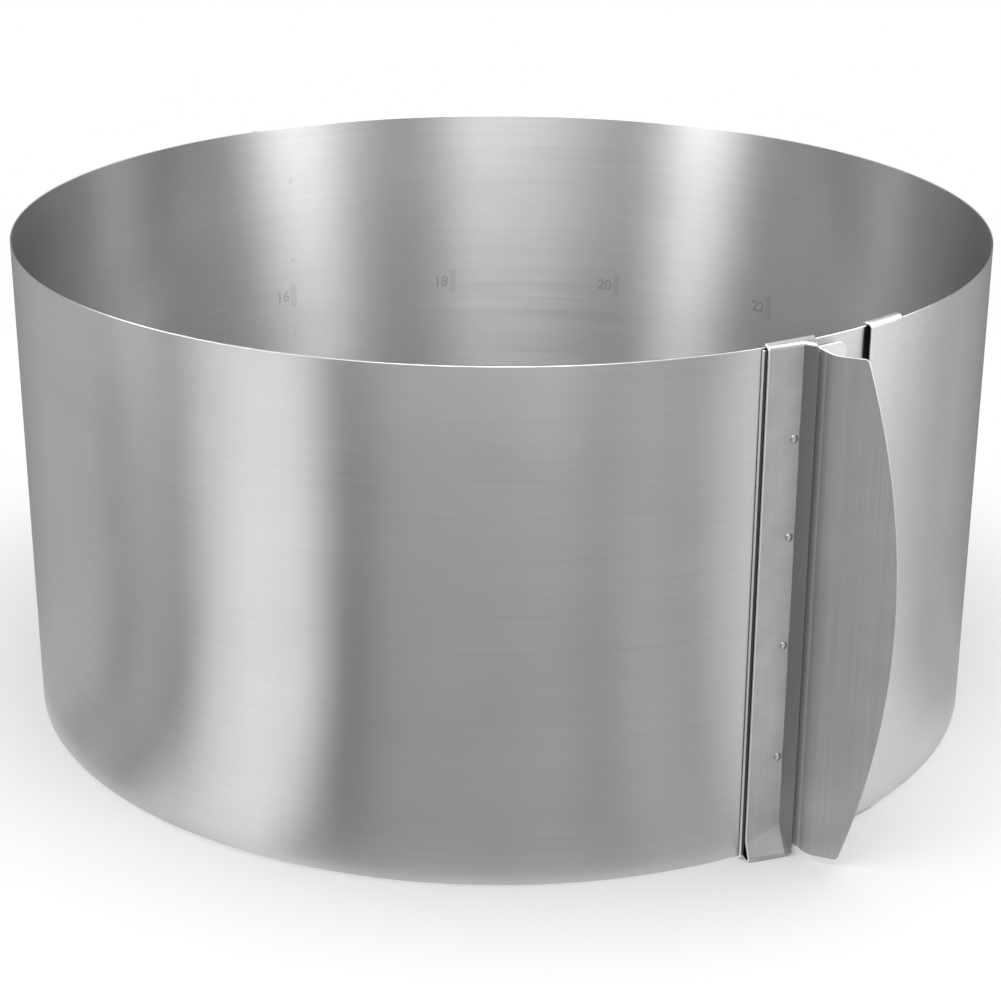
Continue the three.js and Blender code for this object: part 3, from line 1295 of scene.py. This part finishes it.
@dataclass
class Studio:
    """Pale floor, soft lights, the light tent that the steel reflects, and the camera."""

    floor_size: float = 6000.0
    floor_colour: float = 0.94
    floor_white_from: float = 260.0
    floor_white_full: float = 700.0
    fill_strength: float = 0.95
    lamp_power: float = 12.0
    lamp_size: tuple[float, float] = (1600.0, 1200.0)
    lamp_place: tuple[float, float, float] = (0.0, -250.0, 1500.0)
    lamp_tilt: float = math.radians(-9.5)
    tent_sides: int = 96
    tent_radius: float = 230.0
    tent_height: float = 520.0
    tent_foot_radius: float = 154.5
    tent_foot_height: float = 0.3
    card_sides: int = 64
    card_radius: float = 140.0
    card_level: float = 0.1
    tent_change_low: float = 195.0
    tent_change_high: float = 265.0
    # Both tables started from a least-squares fit to the photograph's grey levels. The lower one was
    # typed close to the fit, and the upper one was changed over many trial renders.
    lower_tones: tuple[Tone, ...] = (
        Tone(-180.0, 0.3), Tone(-120.0, 0.3), Tone(-90.0, 0.55), Tone(-75.0, 0.55), Tone(-67.0, 0.4),
        Tone(-60.0, 0.5), Tone(-52.0, 0.38), Tone(-45.0, 0.9), Tone(-38.0, 1.1), Tone(-30.0, 1.0),
        Tone(-23.0, 0.23), Tone(-15.0, 0.38), Tone(0.0, 0.38), Tone(8.0, 0.42), Tone(15.0, 0.37),
        Tone(22.0, 0.5), Tone(30.0, 0.45), Tone(38.0, 0.8), Tone(45.0, 0.92), Tone(60.0, 0.95),
        Tone(67.0, 0.9), Tone(75.0, 0.7), Tone(82.0, 0.55), Tone(90.0, 0.55), Tone(120.0, 0.25),
        Tone(180.0, 0.3),
    )
    upper_tones: tuple[Tone, ...] = (
        Tone(-180.0, 1.3), Tone(-150.0, 1.2), Tone(-135.0, 0.03), Tone(-98.0, 0.1), Tone(-90.0, 1.2),
        Tone(-82.0, 6.19), Tone(-75.0, 8.12), Tone(-67.0, 7.47), Tone(-60.0, 1.9), Tone(-52.0, 0.9),
        Tone(-45.0, 0.5), Tone(-37.0, 0.9), Tone(-30.0, 1.79), Tone(-22.0, 3.39), Tone(-15.0, 4.0),
        Tone(0.0, 4.3), Tone(8.0, 4.96), Tone(15.0, 4.23), Tone(22.0, 2.02), Tone(30.0, 1.0),
        Tone(38.0, 0.5), Tone(45.0, 0.7), Tone(52.0, 1.57), Tone(60.0, 2.3), Tone(67.0, 5.3),
        Tone(75.0, 7.9), Tone(82.0, 7.4), Tone(90.0, 3.6), Tone(98.0, 0.15), Tone(135.0, 0.03),
        Tone(150.0, 1.2), Tone(180.0, 1.3),
    )
    # The camera's numbers were fitted to points on the rims and the bottom edge in the photograph
    focal_pixels: float = 2324.12
    picture_pixels: float = 1001.0
    camera_place: tuple[float, float, float] = (0.43, -706.86, 333.03)
    camera_pitch: float = math.radians(21.41)
    camera_roll: float = math.radians(0.22)
    sensor_width: float = 36.0
    nearest_seen: float = 10.0

    def build_camera(self) -> None:
        """Camera at the photograph's viewing angle."""
        data = bpy.data.cameras.new("camera")
        data.sensor_width = self.sensor_width
        data.lens = self.focal_pixels / self.picture_pixels * self.sensor_width
        data.clip_start = self.nearest_seen * MM
        camera = bpy.data.objects.new("camera", data)
        camera.location = Vector(self.camera_place) * MM
        turn = Euler((math.pi / 2 - self.camera_pitch, 0.0, 0.0)).to_matrix()
        turn = turn @ Euler((0.0, 0.0, self.camera_roll)).to_matrix()
        camera.rotation_euler = turn.to_euler()
        bpy.context.scene.collection.objects.link(camera)
        bpy.context.scene.camera = camera

    def seen_share(self, tree: bpy.types.NodeTree) -> bpy.types.NodeSocket:
        """Tells rays that see the studio from rays that are only lit by it.

        Args:
            tree: The node tree that asks.

        Returns:
            Socket that is 1 for camera, glossy and transmission rays, and 0 for others.
        """
        path = tree.nodes.new("ShaderNodeLightPath").outputs
        mirrored = calculated(tree, "MAXIMUM", path["Is Glossy Ray"], path["Is Transmission Ray"])
        return calculated(tree, "MAXIMUM", path["Is Camera Ray"], mirrored)

    def add_stage(
        self,
        material: bpy.types.Material,
        points: Sequence[tuple[float, float, float]],
        faces: Sequence[tuple[int, ...]],
        metal_only: bool = False,
    ) -> None:
        """Adds a part of the studio, named after its material.

        Args:
            material: Its material.
            points: Its corners in metres.
            faces: Corner numbers of each face.
            metal_only: Whether it is hidden from everything but reflections.
        """
        mesh = bpy.data.meshes.new(material.name)
        mesh.from_pydata(points, [], faces)
        mesh.materials.append(material)
        piece = bpy.data.objects.new(material.name, mesh)
        if metal_only:
            piece.visible_camera = False
            piece.visible_diffuse = False
            piece.visible_shadow = False
        bpy.context.scene.collection.objects.link(piece)

    def build_floor(self) -> None:
        """Pale matt floor that turns to plain white further out."""
        material = bpy.data.materials.new("floor")
        tree = empty_tree(material)
        nodes, links = tree.nodes, tree.links
        output = nodes.new("ShaderNodeOutputMaterial")
        matt = nodes.new("ShaderNodeBsdfDiffuse")
        matt.inputs["Color"].default_value = grey(self.floor_colour)
        white = nodes.new("ShaderNodeEmission")
        place = nodes.new("ShaderNodeTexCoord")
        distance = nodes.new("ShaderNodeVectorMath")
        distance.operation = "LENGTH"
        links.new(place.outputs["Object"], distance.inputs[0])
        turning_white = (self.floor_white_from * MM, self.floor_white_full * MM)
        far = ranged(tree, distance.outputs["Value"], turning_white, smooth=True)
        mix = nodes.new("ShaderNodeMixShader")
        links.new(calculated(tree, "MULTIPLY", far, self.seen_share(tree)), mix.inputs["Fac"])
        links.new(matt.outputs["BSDF"], mix.inputs[1])
        links.new(white.outputs["Emission"], mix.inputs[2])
        links.new(mix.outputs["Shader"], output.inputs["Surface"])
        h = self.floor_size * MM
        self.add_stage(material, [(-h, -h, 0.0), (h, -h, 0.0), (h, h, 0.0), (-h, h, 0.0)], [(0, 1, 2, 3)])

    def ramp(
        self, tree: bpy.types.NodeTree, tones: Sequence[Tone], share: bpy.types.NodeSocket
    ) -> bpy.types.NodeSocket:
        """Brightness of the tent over the plan angle.

        Args:
            tree: The tent's node tree.
            tones: Its levels, in order of their angles.
            share: Socket of the place in the full turn.

        Returns:
            Socket of the brightness.
        """
        node = tree.nodes.new("ShaderNodeValToRGB")
        tree.links.new(share, node.inputs["Fac"])
        stops = node.color_ramp.elements
        # A new stop starts halfway, and the next loop gives it its place
        halfway = 0.5
        while len(stops) < len(tones):
            stops.new(halfway)
        for stop, tone in zip(stops, tones):
            stop.position = tone.share
            stop.color = grey(tone.level)
        return node.outputs["Color"]

    def glow_material(self, name: str) -> tuple[bpy.types.Material, bpy.types.NodeSocket]:
        """Makes a material that only glows.

        Args:
            name: Its name.

        Returns:
            The material, and the socket of its colour.
        """
        material = bpy.data.materials.new(name)
        tree = empty_tree(material)
        output = tree.nodes.new("ShaderNodeOutputMaterial")
        glow = tree.nodes.new("ShaderNodeEmission")
        tree.links.new(glow.outputs["Emission"], output.inputs["Surface"])
        return material, glow.inputs["Color"]

    def build_card(self) -> None:
        """Dark round card on the floor inside the ring, which keeps the inner wall's reflections clear."""
        material, colour = self.glow_material("dark_card")
        colour.default_value = grey(self.card_level)
        turns = [math.tau * k / self.card_sides for k in range(self.card_sides)]
        reach, height = self.card_radius * MM, self.tent_foot_height * MM
        points = [(reach * math.cos(a), reach * math.sin(a), height) for a in turns]
        self.add_stage(material, points, [tuple(range(self.card_sides))], metal_only=True)

    def build_tent(self) -> None:
        """Round light tent with a flat foot, which gives the steel its bright and dark reflections."""
        material, colour = self.glow_material("light_tent")
        tree = material.node_tree
        nodes, links = tree.nodes, tree.links
        place = nodes.new("ShaderNodeTexCoord")
        parts = nodes.new("ShaderNodeSeparateXYZ")
        links.new(place.outputs["Object"], parts.inputs["Vector"])
        forward = calculated(tree, "MULTIPLY", parts.outputs["Y"], -1.0)
        turn = calculated(tree, "ARCTAN2", parts.outputs["X"], forward)
        share = ranged(tree, turn, (-math.pi, math.pi))
        changing = (self.tent_change_low * MM, self.tent_change_high * MM)
        mix = nodes.new("ShaderNodeMix")
        mix.data_type = "RGBA"
        links.new(ranged(tree, parts.outputs["Z"], changing, smooth=True), mix.inputs["Factor"])
        links.new(self.ramp(tree, self.lower_tones, share), mix.inputs["A"])
        links.new(self.ramp(tree, self.upper_tones, share), mix.inputs["B"])
        links.new(mix.outputs["Result"], colour)
        sides, foot = self.tent_sides, self.tent_foot_height
        outline = [(self.tent_foot_radius, foot), (self.tent_radius, foot)]
        outline.append((self.tent_radius, self.tent_height))
        corners = len(outline)
        points, faces = [], []
        for k in range(sides):
            across, ahead = math.sin(math.tau * k / sides), -math.cos(math.tau * k / sides)
            points += [(reach * across * MM, reach * ahead * MM, height * MM) for reach, height in outline]
            a, b = corners * k, corners * ((k + 1) % sides)
            faces += [(a, b, b + 1, a + 1), (a + 1, b + 1, b + 2, a + 2)]
        self.add_stage(material, points, faces, metal_only=True)

    def build_world(self) -> None:
        """World that is white to camera, metal and glass, and a plain fill for matt surfaces."""
        world = bpy.data.worlds.new("studio")
        bpy.context.scene.world = world
        tree = empty_tree(world)
        nodes, links = tree.nodes, tree.links
        output = nodes.new("ShaderNodeOutputWorld")
        fill = nodes.new("ShaderNodeBackground")
        fill.inputs["Strength"].default_value = self.fill_strength
        white = nodes.new("ShaderNodeBackground")
        white.inputs["Color"].default_value = grey(1.0)
        mix = nodes.new("ShaderNodeMixShader")
        links.new(self.seen_share(tree), mix.inputs["Fac"])
        links.new(fill.outputs["Background"], mix.inputs[1])
        links.new(white.outputs["Background"], mix.inputs[2])
        links.new(mix.outputs["Shader"], output.inputs["Surface"])

    def build_lamp(self) -> None:
        """Large soft lamp above and a little in front."""
        data = bpy.data.lights.new("overhead_softbox", "AREA")
        data.shape = "RECTANGLE"
        data.size, data.size_y = (length * MM for length in self.lamp_size)
        data.energy = self.lamp_power
        lamp = bpy.data.objects.new("overhead_softbox", data)
        lamp.location = Vector(self.lamp_place) * MM
        lamp.rotation_euler = (self.lamp_tilt, 0.0, 0.0)
        bpy.context.scene.collection.objects.link(lamp)

    def build(self) -> None:
        """Builds the studio."""
        bpy.context.scene.view_settings.view_transform = "Standard"
        self.build_camera()
        self.build_floor()
        self.build_tent()
        self.build_card()
        self.build_world()
        self.build_lamp()


def main() -> None:
    """Builds every piece of the ring and its studio."""
    logging.basicConfig(level=logging.INFO, format="%(name)s: %(message)s")
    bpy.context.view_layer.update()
    ring = Ring()
    Studio().build()
    LOG.info("studio")
    band_steel = BrushedSteel("band_brushed_along", Grain.ALONG).build()
    guide_steel = BrushedSteel(
        "guide_brushed_upright",
        Grain.UPRIGHT,
        colour=(0.66, 0.66, 0.665),
        roughness=0.3,
        streak=0.1,
        blotch=0.07,
        blotches_per_metre=120.0,
    ).build()
    # Darker steel for the bracket's lip: painted shade
    lip_painted_shade_steel = BrushedSteel(
        "lip_painted_shade_upright", Grain.UPRIGHT, colour=(0.36, 0.36, 0.365), roughness=0.3
    ).build()
    grip_steel = BrushedSteel(
        "grip_brushed_upright",
        Grain.UPRIGHT,
        colour=(0.74, 0.74, 0.74),
        roughness=0.42,
        streak=0.12,
        blotches_per_metre=90.0,
    ).build()
    # White steel for each grip's leg: a painted highlight for the glare on it
    leg_painted_highlight_steel = BrushedSteel(
        "leg_painted_highlight_upright", Grain.UPRIGHT, colour=(1.0, 1.0, 1.0), roughness=0.6, streak=0.08
    ).build()
    weld_steel = BrushedSteel(
        "weld_bright", Grain.ALONG, colour=(0.62, 0.62, 0.625), roughness=0.25, anisotropy=0.0
    ).build()
    # Brighter steel for each grip's foot: a painted highlight for its bright patch
    foot_painted_highlight_steel = BrushedSteel(
        "grip_foot_painted_highlight", Grain.ALONG, colour=(0.85, 0.85, 0.855), roughness=0.3, anisotropy=0.0
    ).build()
    # Cut edges: white steel, a painted highlight for the glare along them
    edge_painted_highlight_steel = BrushedSteel(
        "cut_edge_painted_highlight", Grain.ALONG, colour=(1.0, 1.0, 1.0), roughness=0.55, anisotropy=0.0
    ).build()
    # Near-black steel on the tongue beside the bracket: painted shade for the gap under the plate
    painted_gap_shade_steel = BrushedSteel("tongue_painted_gap_shade", Grain.ALONG, colour=(0.1, 0.1, 0.1)).build()
    tick_steel = BrushedSteel("scale_ticks", Grain.ALONG, colour=(0.62, 0.62, 0.625)).build()
    number_steel = BrushedSteel("scale_numbers", Grain.ALONG, colour=(0.5, 0.5, 0.5)).build()
    band = Band(ring, band_steel, edge_painted_highlight_steel, painted_gap_shade_steel)
    band.build()
    LOG.info("band")
    bracket = GuideBracket(ring, guide_steel, lip_painted_shade_steel, edge_painted_highlight_steel, band)
    bracket.build()
    LOG.info("guide bracket")
    front = Grip(
        ring,
        grip_steel,
        foot_painted_highlight_steel,
        leg_painted_highlight_steel,
        name="front_grip_sheet",
        node="front_grip",
        body="guide",
        crease=bracket.grip_crease(Grip.sheet),
        foot_side=1,
    )
    front.build()
    rear_body = section(ring.rear_grip_strip)
    rear = Grip(
        ring,
        grip_steel,
        foot_painted_highlight_steel,
        leg_painted_highlight_steel,
        name="rear_grip_sheet",
        node="rear_grip",
        body=rear_body,
        crease=ring.rear_crease,
        foot_side=-1,
        end_inset=3.6,
        weld_shares=(0.28, 0.48, 0.667, 0.867),
    )
    rear.build()
    LOG.info("grips")
    welds = SpotWelds(ring, weld_steel)
    welds.build("bracket_spot_weld", bracket.welds, "guide")
    welds.build("rear_grip_spot_weld", rear.welds, rear_body)
    welds.build_marks("inside_weld_mark", rear.welds, band, tick_steel)
    LOG.info("spot welds")
    SizeScale(ring, band, tick_steel, number_steel, rear.welds.distance).build()
    LOG.info("size scale")


if __name__ == "__main__":
    main()
